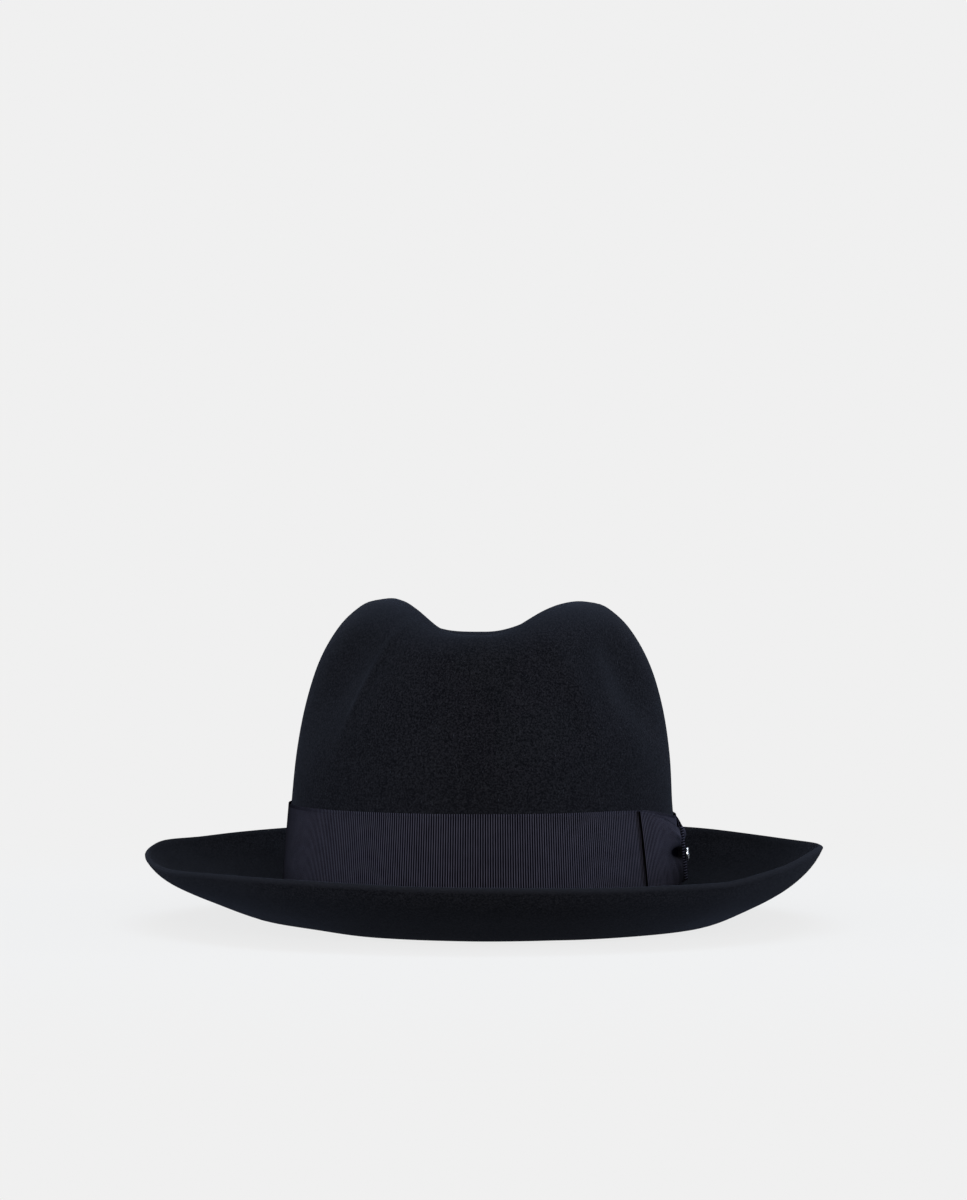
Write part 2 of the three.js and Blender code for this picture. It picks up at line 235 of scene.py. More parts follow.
def collar_point(turn, height):
    down = (WALL_FOOT_HEIGHT - height) / (WALL_FOOT_HEIGHT - BREAK_RADIUS)
    flare = COLLAR_FLARE * down
    x, y = oval(turn, CROWN_HALF_WIDTH + flare, CROWN_HALF_LENGTH + flare, CROWN_SIDE_SHIFT)
    return x, y, height


def outward(turn):
    across, along = math.sin(turn) / CROWN_HALF_WIDTH, -math.cos(turn) / CROWN_HALF_LENGTH
    length = math.hypot(across, along)
    return across / length, along / length


def wrapped_degrees(turn):
    return math.degrees(math.atan2(math.sin(turn), math.cos(turn)))


def low_height(turn):
    """Where the brim leaves the break. It rests on the floor, and lifts a little at the front right."""
    aside = wrapped_degrees(turn) - ROOT_LIFT["turn"]
    return BRIM_LOW_HEIGHT + ROOT_LIFT["height"] * bell(aside, ROOT_LIFT["width"])


def bend_point(turn, share):
    x, y, height = collar_point(turn, low_height(turn) + BREAK_RADIUS)
    out_x, out_y = outward(turn)
    angle = share * math.pi / 2
    reach = BREAK_RADIUS * (1 - math.cos(angle))
    return x + out_x * reach, y + out_y * reach, height - BREAK_RADIUS * math.sin(angle)


def brim_point(turn, share):
    root_x, root_y, root_height = bend_point(turn, 1)
    edge_x, edge_y = oval(turn, BRIM_HALF_WIDTH, BRIM_HALF_LENGTH)
    edge_height = read_table(EDGE_HEIGHTS, 1, wrapped_degrees(turn))
    on_left = (1 + math.sin(turn)) / 2
    rise = mix(read_table(BRIM_SECTION, 2, share), read_table(BRIM_SECTION, 1, share), on_left)
    bowl = (max(0, share - BOWL["start"]) / (1 - BOWL["start"])) ** 2
    aside = abs(wrapped_degrees(turn)) - BOWL["turn"]
    rise = mix(rise, bowl, BOWL["share"] * bell(aside, BOWL["width"]))
    return mix(root_x, edge_x, share), mix(root_y, edge_y, share), mix(root_height, edge_height, rise)


def collar_stretch(turn, share):
    return collar_point(turn, mix(WALL_FOOT_HEIGHT, low_height(turn) + BREAK_RADIUS, share))


# Each stretch of the section, and the number of steps that it is cut into
STRETCHES = [(dent_point, 20), (wall_point, 34), (collar_stretch, 8), (bend_point, 8), (brim_point, 30)]
STATION_TOLERANCE = 1e-6


def felt_face(turn, station):
    """The outer face of the felt. Each whole number of stations is one stretch of the section."""
    index = min(int(station + STATION_TOLERANCE), len(STRETCHES) - 1)
    return STRETCHES[index][0](turn, max(0, station - index))


print("crown top", round(max(felt_face(math.radians(a), 1)[2] for a in range(0, 360, 5)), 1), "mm")

# %% [markdown]
# Shader maths as plain arithmetic
#
# A material is a graph of nodes. Written node by node it hides what it does, so a small class wraps a socket
# and turns +, - and * into Math nodes. One method adds every other node.

# %% A small language for materials
MIX_SHARE, MIX_FIRST, MIX_SECOND, MIX_COLOUR = 0, 6, 7, 2


class Value:
    """A socket with arithmetic. Each operator adds one Math node."""

    def __init__(self, finish, socket):
        self.finish = finish
        self.socket = socket

    def __add__(self, other):
        return self.finish.maths("ADD", self, other)

    def __sub__(self, other):
        return self.finish.maths("SUBTRACT", self, other)

    def __rsub__(self, other):
        return self.finish.maths("SUBTRACT", other, self)

    def __mul__(self, other):
        return self.finish.maths("MULTIPLY", self, other)

    __radd__ = __add__
    __rmul__ = __mul__


class Finish:
    """One material: a Principled shader, and methods that add the nodes that feed it."""

    def __init__(self, name, **constants):
        self.material = bpy.data.materials.new(name)
        self.material.use_nodes = True
        self.tree = self.material.node_tree
        self.shader = self.tree.nodes["Principled BSDF"]
        for socket, value in constants.items():
            self.shader.inputs[socket.replace("_", " ")].default_value = value

    def node(self, kind, settings=None, inputs=None, output=0):
        made = self.tree.nodes.new(kind)
        for name, value in (settings or {}).items():
            setattr(made, name, value)
        for name, value in (inputs or {}).items():
            if isinstance(value, Value):
                self.tree.links.new(value.socket, made.inputs[name])
            else:
                made.inputs[name].default_value = value
        return Value(self, made.outputs[output])

    def maths(self, operation, *values):
        return self.node("ShaderNodeMath", {"operation": operation}, dict(enumerate(values)))

    def chart(self, name):
        """The first number of one of the piece's own maps."""
        chart = self.node("ShaderNodeUVMap", {"uv_map": name})
        return self.node("ShaderNodeSeparateXYZ", {}, {"Vector": chart})

    def ripple(self, phase):
        """A wave from 0 to 1."""
        return 0.5 + 0.5 * self.maths("COSINE", phase)

    def place(self):
        return self.node("ShaderNodeTexCoord", output="Object")

    def stretched(self, place, scale, turn=(0, 0, 0)):
        return self.node("ShaderNodeMapping", {}, {"Vector": place, "Scale": scale, "Rotation": turn})

    def noise(self, place, size, detail=2, roughness=0.5):
        """Cloudy noise from 0 to 1 whose lumps are about size metres across."""
        inputs = {"Vector": place, "Scale": 1 / size, "Detail": detail, "Roughness": roughness}
        return self.node("ShaderNodeTexNoise", {}, inputs)

    def ramp(self, value, low, high):
        """0 below low and 1 above high, smooth between them."""
        settings = {"interpolation_type": "SMOOTHSTEP"}
        inputs = {"Value": value, "From Min": low, "From Max": high, "To Min": 0, "To Max": 1}
        return self.node("ShaderNodeMapRange", settings, inputs)

    def blend(self, share, first, second):
        """A colour between two others."""
        inputs = {MIX_SHARE: share, MIX_FIRST: first, MIX_SECOND: second}
        return self.node("ShaderNodeMix", {"data_type": "RGBA"}, inputs, output=MIX_COLOUR)

    def bump(self, height, depth, strength):
        return self.node("ShaderNodeBump", {}, {"Height": height, "Distance": depth, "Strength": strength})

    def feed(self, socket, value):
        self.tree.links.new(value.socket, self.shader.inputs[socket])


# %% [markdown]
# Wool felt
#
# Felt is matted wool: there is no weave, only short fibres lying every way, so its colour is mottled at about
# a millimetre and its surface scatters light softly at the edges. Sheen gives that soft rim. A few paler
# fibres and specks of lint lie in the nap. The felt's own map gives the station of each place, so the dent and
# the top of the crown get a painted highlight, the brim gets painted shade, and the cut edge is a little
# paler.

# %% Felt finish
FELT_DARK = (0.0022, 0.0024, 0.0033, 1)
FELT_LIGHT = (0.0096, 0.0098, 0.0122, 1)
FELT_PAINTED_TOP_HIGHLIGHT = (0.0120, 0.0140, 0.0200, 1)
FELT_CUT = (0.0100, 0.0105, 0.0135, 1)
FIBRE_PALE = (0.030, 0.033, 0.042, 1)
LINT_PALE = (0.30, 0.31, 0.33, 1)
BLACK = (0, 0, 0, 1)
# Sizes in metres
MOTTLE_SIZE = 0.0008
CLOUD_SIZE = 0.022
STRAND_SIZE = 0.00045
NAP_SIZE = 0.00032
LUMP_SIZE = 0.0016
NAP_DEPTH = 0.00022
# Values of the noise between which each thing shows, and how strongly it does
MOTTLE_WEIGHT, CLOUD_WEIGHT = 0.93, 0.07
MOTTLE_RANGE = (0.38, 0.65)
FIBRE_RANGE = (0.69, 0.80)
FIBRE_SHARE = 0.55
FIBRES_ONE_WAY = {"scale": (1, 1, 0.22), "turn": (0.6, 0.4, 0.9)}
FIBRES_OTHER_WAY = {"scale": (1, 0.22, 1), "turn": (-0.5, 0.7, 0.3)}
LINT_PER_METRE = 30.0
LINT_RANGE = (0.010, 0.017)
LINT_SHARE = 0.7
NAP_RANGE = (-0.6, 1.4)
LEAST_ROUGHNESS, ROUGHNESS_SPREAD = 0.84, 0.12
NAP_WEIGHT, LUMP_WEIGHT = 0.6, 0.9
NAP_STRENGTH = 0.55
# Stations between which each tone comes in, and how strong it is: a painted highlight on the top of the crown,
# painted shade over the brim up to the rim, and a paler cut edge
TOP_HIGHLIGHT_STATIONS = (1.05, 1.4)
TOP_HIGHLIGHT_SHARE = 0.4
BRIM_SHADE_STATIONS = (3.9, 4.1)
BRIM_SHADE_END_STATIONS = (4.8, 4.95)
BRIM_SHADE_SHARE = 0.22
CUT_STATIONS = (4.975, 4.995)
CUT_SHARE = 0.6

felt = Finish("navy_felt", Roughness=0.92, Specular_IOR_Level=0.02, Sheen_Weight=0.02, Sheen_Roughness=0.4,
              Sheen_Tint=(0.6, 0.7, 1.0, 1), Specular_Tint=(0.75, 0.82, 1.0, 1))
spot = felt.place()
mottle = felt.noise(spot, MOTTLE_SIZE, detail=3, roughness=0.7)
cloud = felt.noise(spot, CLOUD_SIZE)
shade = felt.ramp(mottle * MOTTLE_WEIGHT + cloud * CLOUD_WEIGHT, *MOTTLE_RANGE)
felt_colour = felt.blend(shade, FELT_DARK, FELT_LIGHT)
strand = felt.noise(felt.stretched(spot, **FIBRES_ONE_WAY), STRAND_SIZE, detail=1)
strand_again = felt.noise(felt.stretched(spot, **FIBRES_OTHER_WAY), STRAND_SIZE, detail=1)
fibres = felt.ramp(felt.maths("MAXIMUM", strand, strand_again), *FIBRE_RANGE)
felt_colour = felt.blend(fibres * FIBRE_SHARE, felt_colour, FIBRE_PALE)
specks = felt.node("ShaderNodeTexVoronoi", {"feature": "F1"},
                   {"Vector": spot, "Scale": LINT_PER_METRE, "Randomness": 1.0})
lint = 1 - felt.ramp(specks, *LINT_RANGE)
felt_colour = felt.blend(lint * LINT_SHARE, felt_colour, LINT_PALE)
felt_station = felt.chart("section")
cut_edge = felt.ramp(felt_station, *CUT_STATIONS)
felt_colour = felt.blend(cut_edge * CUT_SHARE, felt_colour, FELT_CUT)
# Painted shade over the brim, from its root to just short of the rim
painted_brim_shade = felt.ramp(felt_station, *BRIM_SHADE_STATIONS) * (1 - felt.ramp(felt_station, *BRIM_SHADE_END_STATIONS))
felt_colour = felt.blend(painted_brim_shade * BRIM_SHADE_SHARE, felt_colour, BLACK)
# Painted highlight on the dent and the top of the crown, where the light from above falls
painted_top_highlight = 1 - felt.ramp(felt_station, *TOP_HIGHLIGHT_STATIONS)
felt_colour = felt.blend(painted_top_highlight * TOP_HIGHLIGHT_SHARE, felt_colour, FELT_PAINTED_TOP_HIGHLIGHT)
nap = felt.noise(spot, NAP_SIZE, roughness=0.6)
lumps = felt.noise(spot, LUMP_SIZE)
felt.feed("Base Color", felt_colour)
felt.feed("Roughness", felt.ramp(nap, *NAP_RANGE) * ROUGHNESS_SPREAD + LEAST_ROUGHNESS)
felt.feed("Normal", felt.bump(nap * NAP_WEIGHT + lumps * LUMP_WEIGHT, NAP_DEPTH, NAP_STRENGTH))
print("felt nodes", len(felt.tree.nodes))

# %% [markdown]
# Grosgrain ribbon
#
# Grosgrain has thick weft cords under a fine silky warp, so it shows as close ribs across its length. The
# ribs on this hat are made in the mesh. The finish adds what is finer: painted shade in the valley between two
# ribs and a painted highlight on each crest, the warp threads that run along the ribbon, and a slightly uneven
# tone. It reads the ribbon's own map, whose first number is the distance along the ribbon in ribs and whose
# second is the distance across it in millimetres. A second map, fold, holds painted shade for the deep folds
# of the bow, the band's two sides and the knot's edges, where the colour is painted nearly black.

# %% Ribbon finish
RIBBON_VALLEY_PAINTED_SHADE = (0.0004, 0.0004, 0.0010, 1)
RIBBON_CREST_PAINTED_HIGHLIGHT = (0.0420, 0.0410, 0.0580, 1)
RIBBON_PAINTED_SHADE = (0.0030, 0.0028, 0.0026, 1)
WARP_PITCH = 0.24
WARP_DEPTH = 0.00004
WARP_STRENGTH = 0.6
TONE_SIZE = 0.006
RIB_WEIGHT, WARP_WEIGHT, TONE_WEIGHT = 0.86, 0.06, 0.2
LIT_RANGE = (0.3, 1.05)

ribbon = Finish("grosgrain", Roughness=0.5, Specular_IOR_Level=0.0)
ribs_along = ribbon.chart("ribbon")
millimetres_across = Value(ribbon, ribs_along.socket.node.outputs["Y"])
rib = ribbon.ripple(ribs_along * FULL_TURN)
warp = ribbon.ripple(millimetres_across * (FULL_TURN / WARP_PITCH))
tone = ribbon.noise(ribbon.place(), TONE_SIZE, detail=3)
lit = ribbon.ramp(rib * RIB_WEIGHT + warp * WARP_WEIGHT + tone * TONE_WEIGHT, *LIT_RANGE)
# Painted shade in the rib valleys and a painted highlight on the crests, with the warp and the random tone
# mixed in
open_colour = ribbon.blend(lit, RIBBON_VALLEY_PAINTED_SHADE, RIBBON_CREST_PAINTED_HIGHLIGHT)
# Painted shade: the colour that the fold map darkens the ribbon towards
painted_shade_colour = ribbon.blend(lit, RIBBON_VALLEY_PAINTED_SHADE, RIBBON_PAINTED_SHADE)
ribbon.feed("Base Color", ribbon.blend(ribbon.chart("fold"), open_colour, painted_shade_colour))
ribbon.feed("Roughness", 0.56 - lit * 0.1)
ribbon.feed("Normal", ribbon.bump(warp, WARP_DEPTH, WARP_STRENGTH))
print("ribbon nodes", len(ribbon.tree.nodes))

# %% Stud finish
METAL_DARK = (0.70, 0.71, 0.74, 1)
METAL_BRIGHT = (0.86, 0.87, 0.89, 1)
GRAIN_SIZE = 0.0006
GRAIN_SCALE = (1, 1, 12)

metal = Finish("stud_metal", Metallic=1.0, Roughness=0.24)
grain = metal.noise(metal.stretched(metal.place(), GRAIN_SCALE), GRAIN_SIZE)
metal.feed("Base Color", metal.blend(grain, METAL_DARK, METAL_BRIGHT))
metal.feed("Roughness", grain * 0.18 + 0.16)
print("stud nodes", len(metal.tree.nodes))

# %% [markdown]
# Finishing a piece
#
# Each piece is a mesh made at its place, so its object sits at the origin. One helper turns a bmesh into an
# object, gives it its finish, hangs it under the root, and hides the frame's nodes that it stands for.

# %% Helpers for pieces
POLE_DISTANCE = 1e-5


def place_piece(name, mesh_work, finish, slot, *nodes):
    """A finished piece from a bmesh, in place of some of the frame's nodes."""
    data = bpy.data.meshes.new(name)
    mesh_work.to_mesh(data)
    mesh_work.free()
    data.materials.append(finish.material)
    data.shade_smooth()
    made = bpy.data.objects.new(name, data)
    bpy.context.scene.collection.objects.link(made)
    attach(made, "root")
    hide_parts(*nodes)
    triangles = sum(len(p.vertices) - 2 for p in data.polygons)
    print(name, len(data.vertices), "vertices,", triangles, "triangles")
    return made


def spin_line(points, steps):
    """A line of points spun a full turn about the upright axis, with its seam and poles closed."""
    work = bmesh.new()
    line = [work.verts.new(p) for p in points]
    edges = [work.edges.new(pair) for pair in zip(line, line[1:])]
    bmesh.ops.spin(work, geom=line + edges, cent=(0, 0, 0), axis=(0, 0, 1), dvec=(0, 0, 0),
                   angle=FULL_TURN, steps=steps, use_merge=True, use_duplicate=False)
    bmesh.ops.remove_doubles(work, verts=work.verts[:], dist=POLE_DISTANCE)
    bmesh.ops.recalc_face_normals(work, faces=work.faces[:])
    return work


# %% [markdown]
# The felt body
#
# A hatter starts from a round cone of felt and pulls it over a wooden block. Here a flat disc is spun from a
# line of stations, and each of its points is then moved to the place that the section gives it, which is what
# the block does. The root of the brim is smoothed further, as an iron does it. A little slow noise takes away
# the look of a machined part. The disc gets its wall after that, so the felt is equally thick everywhere, and
# the ring that it rests on is pressed flat.

# %% Creases in the front of the crown
CREASES = [
    {"turn": -45.5, "slant": -0.17, "height": 106, "reach": 24, "width": 1.8, "proud": 1.5},
    {"turn": 34, "slant": 0.2, "height": 102, "reach": 24, "width": 4.6, "proud": 2.0},
]


def crease_height(turn, height):
    """How far the fingers' grip has raised the felt in the narrow creases beside the two pinches."""
    raised = 0
    for crease in CREASES:
        line = crease["turn"] + crease["slant"] * (crease["height"] - height)
        aside = bell(math.degrees(turn) - line, crease["width"])
        raised += crease["proud"] * aside * bell(height - crease["height"], crease["reach"])
    return raised


# %% Press the felt over the block
TURN_STEPS = 384
HAND_LUMP_SIZE = 38
HAND_LUMP_DEPTH = 0.35
EDGE_ROUNDING = 0.55
EDGE_SHARPNESS = math.radians(55)
ALL_SMOOTHINGS = 2
BRIM_ROOT = (4.04, 4.55)
BRIM_ROOT_SMOOTHINGS = 24
ON_WALL = (1, 2)

stations = [0]
for index, (_, steps) in enumerate(STRETCHES):
    stations += [index + (step + 1) / steps for step in range(steps)]
felt_work = spin_line([(station, 0, 0) for station in stations], TURN_STEPS)
section_map = felt_work.loops.layers.uv.new("section")
for face in felt_work.faces:
    for loop in face.loops:
        loop[section_map].uv = (math.hypot(loop.vert.co.x, loop.vert.co.y), 0)
brim_root = []
for vert in felt_work.verts:
    turn = math.atan2(vert.co.x, -vert.co.y)
    station = math.hypot(vert.co.x, vert.co.y)
    if BRIM_ROOT[0] < station < BRIM_ROOT[1]:
        brim_root.append(vert)
    x, y, z = felt_face(turn, station)
    if ON_WALL[0] < station < ON_WALL[1]:
        scale = 1 + crease_height(turn, z) / math.hypot(x, y)
        x, y = x * scale, y * scale
    vert.co = (x, y, z)
inner_verts = [v for v in felt_work.verts if not v.is_boundary]
for verts in [inner_verts] * ALL_SMOOTHINGS + [brim_root] * BRIM_ROOT_SMOOTHINGS:
    bmesh.ops.smooth_vert(felt_work, verts=verts, factor=0.5,
                          use_axis_x=True, use_axis_y=True, use_axis_z=True)
felt_work.normal_update()
area_facing_up = sum(face.normal.z * face.calc_area() for face in felt_work.faces)
if area_facing_up < 0:
    bmesh.ops.reverse_faces(felt_work, faces=felt_work.faces[:])
    felt_work.normal_update()
for vert in felt_work.verts:
    lump = noise.noise(vert.co / HAND_LUMP_SIZE) * HAND_LUMP_DEPTH
    vert.co += vert.normal * lump
print("disc", len(felt_work.verts), "vertices,", round(abs(area_facing_up)), "square mm seen from above")

# %% Give the felt its wall and its cut edge
bmesh.ops.solidify(felt_work, geom=felt_work.faces[:], thickness=FELT_THICKNESS)
felt_work.normal_update()
sharp = [e for e in felt_work.edges if len(e.link_faces) == 2 and e.calc_face_angle() > EDGE_SHARPNESS]
bmesh.ops.bevel(felt_work, geom=sharp, offset=EDGE_ROUNDING, offset_type="OFFSET", segments=2, profile=0.5,
                affect="EDGES", material=-1)
for vert in felt_work.verts:
    vert.co.z = max(vert.co.z, 0)
    vert.co *= MM
place_piece("felt_hat_body", felt_work, felt, "navy_felt", "felt_body")

# %% [markdown]
# The ribbon's own frame
#
# A ribbon lies on the collar, so its places are counted as a turn round the hat, a height, and how far it
# stands off the felt. The ribs are counted along it, so the same numbers give the mesh its ribs and the
# finish its map.

# %% Ribbon sizes and helpers
TOUCHING_GAP = 0.3
BAND_BOTTOM = 13
BAND_TOP = 52.6
BAND_THICKNESS = 0.9
# Turn in degrees, and height of the band's upper edge, which dips behind the bow
BAND_TOPS = [
    (-180, 52.6), (40, 52.6), (54, 52.0), (66, 49.8), (82, 47.4), (98, 47.6), (118, 49.6), (140, 51.8),
    (160, 52.6), (180, 52.6),
]
RIB_DEPTH = 0.2
RIB_COLUMNS = 4
SEAM_DISTANCE = 0.002


def band_top(turn):
    return read_table(BAND_TOPS, 1, wrapped_degrees(turn))


def ribbon_point(turn, height, stand_off):
    x, y, z = collar_point(turn, height)
    out_x, out_y = outward(turn)
    off = TOUCHING_GAP + stand_off
    return Vector((x + out_x * off, y + out_y * off, z))


def flat_ribbon(ribs, rows, width):
    """A flat strip of ribbon from -0.5 to 0.5 both ways, with its map in ribs and millimetres."""
    work = bmesh.new()
    bmesh.ops.create_grid(work, x_segments=ribs * RIB_COLUMNS, y_segments=rows, size=0.5)
    layer = work.loops.layers.uv.new("ribbon")
    work.loops.layers.uv.new("fold")
    for face in work.faces:
        for loop in face.loops:
            loop[layer].uv = (loop.vert.co.x * ribs, loop.vert.co.y * width)
    return work


def thicken_ribbon(work, seen_from, thickness, longest=None):
    """Closes the seam, turns the faces towards a point that sees the ribbon, and gives it its thickness.

    In a tight fold the thickness can throw a point far out. Where longest is given, a point with an edge
    longer than that goes back to its nearest neighbour.
    """
    bmesh.ops.remove_doubles(work, verts=work.verts[:], dist=SEAM_DISTANCE)
    work.normal_update()
    nearest = min(work.faces, key=lambda face: (face.calc_center_median() - Vector(seen_from)).length)
    if nearest.normal.dot(Vector(seen_from) - nearest.calc_center_median()) < 0:
        bmesh.ops.reverse_faces(work, faces=work.faces[:])
    bmesh.ops.solidify(work, geom=work.faces[:], thickness=thickness)
    for vert in work.verts:
        if longest and max(edge.calc_length() for edge in vert.link_edges) > longest:
            others = [edge.other_vert(vert).co for edge in vert.link_edges]
            vert.co = sorted(others, key=lambda co: (co - vert.co).length)[0]
    bmesh.ops.scale(work, vec=(MM, MM, MM), verts=work.verts[:])


# %% [markdown]
# The hat band
#
# The band is one length of ribbon pulled tight round the collar. A flat strip, four columns to a rib, is laid
# round it from one end to the other, and each column is pushed in or out to make the cords. Both edges of the
# real ribbon are woven denser, as a selvedge, so the last millimetre at each side stands a little proud and
# carries hardly any rib. Painted shade darkens the ribbon at the two sides of the hat, where it turns away.

# %% Hat band
RIBS_ROUND = 520
BAND_FACE = 0.62
BAND_WALL = 0.45
SELVEDGE_PROUD = 0.16
SELVEDGE_WITHOUT_RIBS = 0.8
BAND_WAVE_DEPTH = 0.11
BAND_WAVES_ROUND = 3
BAND_WAVE_HEIGHT = 30
# Painted shade on the band at the wearer's right and left, a quarter of the way round, and how far that
# reaches
BAND_PAINTED_SIDE_SHADES = (0.9, 0.4)
SIDE_PLACE = 0.25
SIDE_SHADE_WIDTH = 0.075
SEEN_FROM_FRONT = (0, -1000, BAND_TOP)
# Height, and share of the way from the ribs' ground to the selvedge
BAND_LINE = [
    (13.0, 0.4), (13.3, 1.0), (14.2, 1.0), (14.6, 0.0), (20.0, 0.0), (27.0, 0.0), (34.0, 0.0),
    (41.0, 0.0), (47.0, 0.0), (51.0, 0.0), (51.4, 1.0), (52.3, 1.0), (52.6, 0.4),
]


def rib_height(ribs):
    return RIB_DEPTH * math.cos(FULL_TURN * ribs)


band_work = flat_ribbon(RIBS_ROUND, len(BAND_LINE) - 1, BAND_TOP - BAND_BOTTOM)
painted_shade_map = band_work.loops.layers.uv["fold"]
# Painted shade at the band's two sides goes into the fold map
for face in band_work.faces:
    for corner in face.loops:
        side_shade = BAND_PAINTED_SIDE_SHADES[0] if corner.vert.co.x < 0 else BAND_PAINTED_SIDE_SHADES[1]
        from_side = abs(corner.vert.co.x) - SIDE_PLACE
        corner[painted_shade_map].uv = (side_shade * bell(from_side, SIDE_SHADE_WIDTH), 0)
for vert in band_work.verts:
    turn, ribs = vert.co.x * FULL_TURN, vert.co.x * RIBS_ROUND
    height, proud = BAND_LINE[round((vert.co.y + 0.5) * (len(BAND_LINE) - 1))]
    way_round = (BAND_WAVES_ROUND * math.sin(turn), BAND_WAVES_ROUND * math.cos(turn))
    wave = noise.noise(Vector((*way_round, height / BAND_WAVE_HEIGHT))) * BAND_WAVE_DEPTH
    rib = rib_height(ribs) * (1 - SELVEDGE_WITHOUT_RIBS * proud)
    height = mix(BAND_BOTTOM, band_top(turn), (height - BAND_BOTTOM) / (BAND_TOP - BAND_BOTTOM))
    vert.co = ribbon_point(turn, height, BAND_FACE + SELVEDGE_PROUD * proud + wave + rib)
thicken_ribbon(band_work, SEEN_FROM_FRONT, BAND_WALL)
band = place_piece("ribbon_band", band_work, ribbon, "grosgrain", "hat_band")

# %% [markdown]
# The loops of the bow
#
# Each side of the bow is a ribbon that leaves the knot, folds over and comes back underneath. The knot pulls
# the ribbon's width together, so near it the loop swells into an upper and a lower lobe with a deep hollow
# between them, and small creases run out from it. A flat grid is bent into that shape: the first half of its
# length is the outer layer, then comes the fold, and the rest is the layer that lies on the band.

# %% Bow sizes
BOW_TURN = math.radians(81)
BOW_MIDDLE_HEIGHT = 30.4
BOW_SEAT = BAND_THICKNESS + TOUCHING_GAP
KNOT_WIDTH = 14
KNOT_HEIGHT = 25
KNOT_THICKNESS = 3
RIBBON_THICKNESS = 0.3
LONGEST_EDGE = 2.2
SEEN_FROM_LEFT = (1000, 0, BOW_MIDDLE_HEIGHT)

LOOP_LENGTH = 45
LOOP_EDGE_MARGIN = 0.3
LOOP_UNDER_KNOT = 1.2
LOOP_OVERRUN = 0.7
LOOP_KNOT_HEIGHT = 23
LOOP_GATHER_POWER = 1.4
LOOP_LEAN = 2.2
LOOP_RIBS = 76
LOOP_ROWS = 52
LOOP_RIB_SHARE = 0.9
LOOP_SELVEDGE = {"start": 0.475, "without_ribs": 0.8, "proud": 0.08}
FOLD_RADIUS = 0.5
FOLD_RIBS = 2

# How far the layers of a loop stand off their seat
LOOP_SEAT = 0.25
LOOP_LEAST_STAND = 0.05
LOOP_KNOT_STAND = 1.7
LOOP_KNOT_REACH = 0.07
LOOP_MIDDLE_STAND = 1.9
LOOP_END_STANDS = (1.5, 1.15)
LOOP_END_POWER = 1.5
LOOP_HEM_STAND = 0.1
LOOP_HEM_DEPTH = 0.7

# Forms of the gathered ribbon. Away and reach are shares of the way from the knot to the fold, and a middle
# is a height above the hollow. Pleats and fan are waves, counted along the loop and up it.
HOLLOW = {"height": 31.8, "depth": 2.7, "reach": 0.42, "half_height": 2.4, "opening": 4, "rise": 1.5}
LOBES = {"swell": 0.7, "away": 0.16, "reach": 0.3, "half_height": 4}
UPPER_LOBE = {"middle": 7.5, "share": 1}
LOWER_LOBE = {"middle": -8, "share": 0.85}
RIDGE = {"swell": 0.5, "away": 0.2, "reach": 0.22, "middle": 3, "climb": 19, "half_height": 1.3}
PLEATS = {"depth": 0.3, "middle": -9, "half_height": 6, "along": 31, "up": 0.25}
FAN = {"depth": 0.25, "away": 0.1, "reach": 0.3, "middle": 9, "half_height": 5, "along": 9, "up": 1.3}
EDGE_ROLL = 1.5
EDGE_ROLL_POWER = 6

# Painted shade in the folds, from 0 in the open to 1 where hardly any light comes
HOLLOW_SHADE_OPENING = 2
LOWER_SHADE = {"strength": 0.55, "reach": 0.55, "middle": -9, "half_height": 9}
SIDE_SHADE = {"strength": 0.3, "reach": 0.5}
FRONT_SEAM_SHADE = {"strength": 1, "reach": 0.035}
BACK_SEAM_SHADE = {"strength": 0.6, "reach": 0.3}
DARK_FROM_FOLD = 0.22
UNDER_LAYER_SHADE = 0.7
print("ribbon of a loop", round(2 * LOOP_LENGTH + math.pi * FOLD_RADIUS, 1), "mm long")


# %% Bow loops
def bow_turn(along):
    return BOW_TURN + along / CROWN_HALF_LENGTH


def loop_height(side, away, across):
    """The height of a place on a loop. Near the knot the whole width is gathered into the knot's height."""
    gather = max(0, 1 - away) ** LOOP_GATHER_POWER
    bottom = BAND_BOTTOM + LOOP_EDGE_MARGIN
    top = band_top(bow_turn(side * (KNOT_WIDTH / 2 + LOOP_LENGTH))) - LOOP_EDGE_MARGIN
    tall = mix(top - bottom, LOOP_KNOT_HEIGHT, gather)
    return mix((top + bottom) / 2, BOW_MIDDLE_HEIGHT, gather) + tall * across


def hollow_at(away, above, opening):
    half_height = HOLLOW["half_height"] + opening * away
    return bell(away / HOLLOW["reach"], 1) * bell(above - HOLLOW["rise"] * away, half_height)


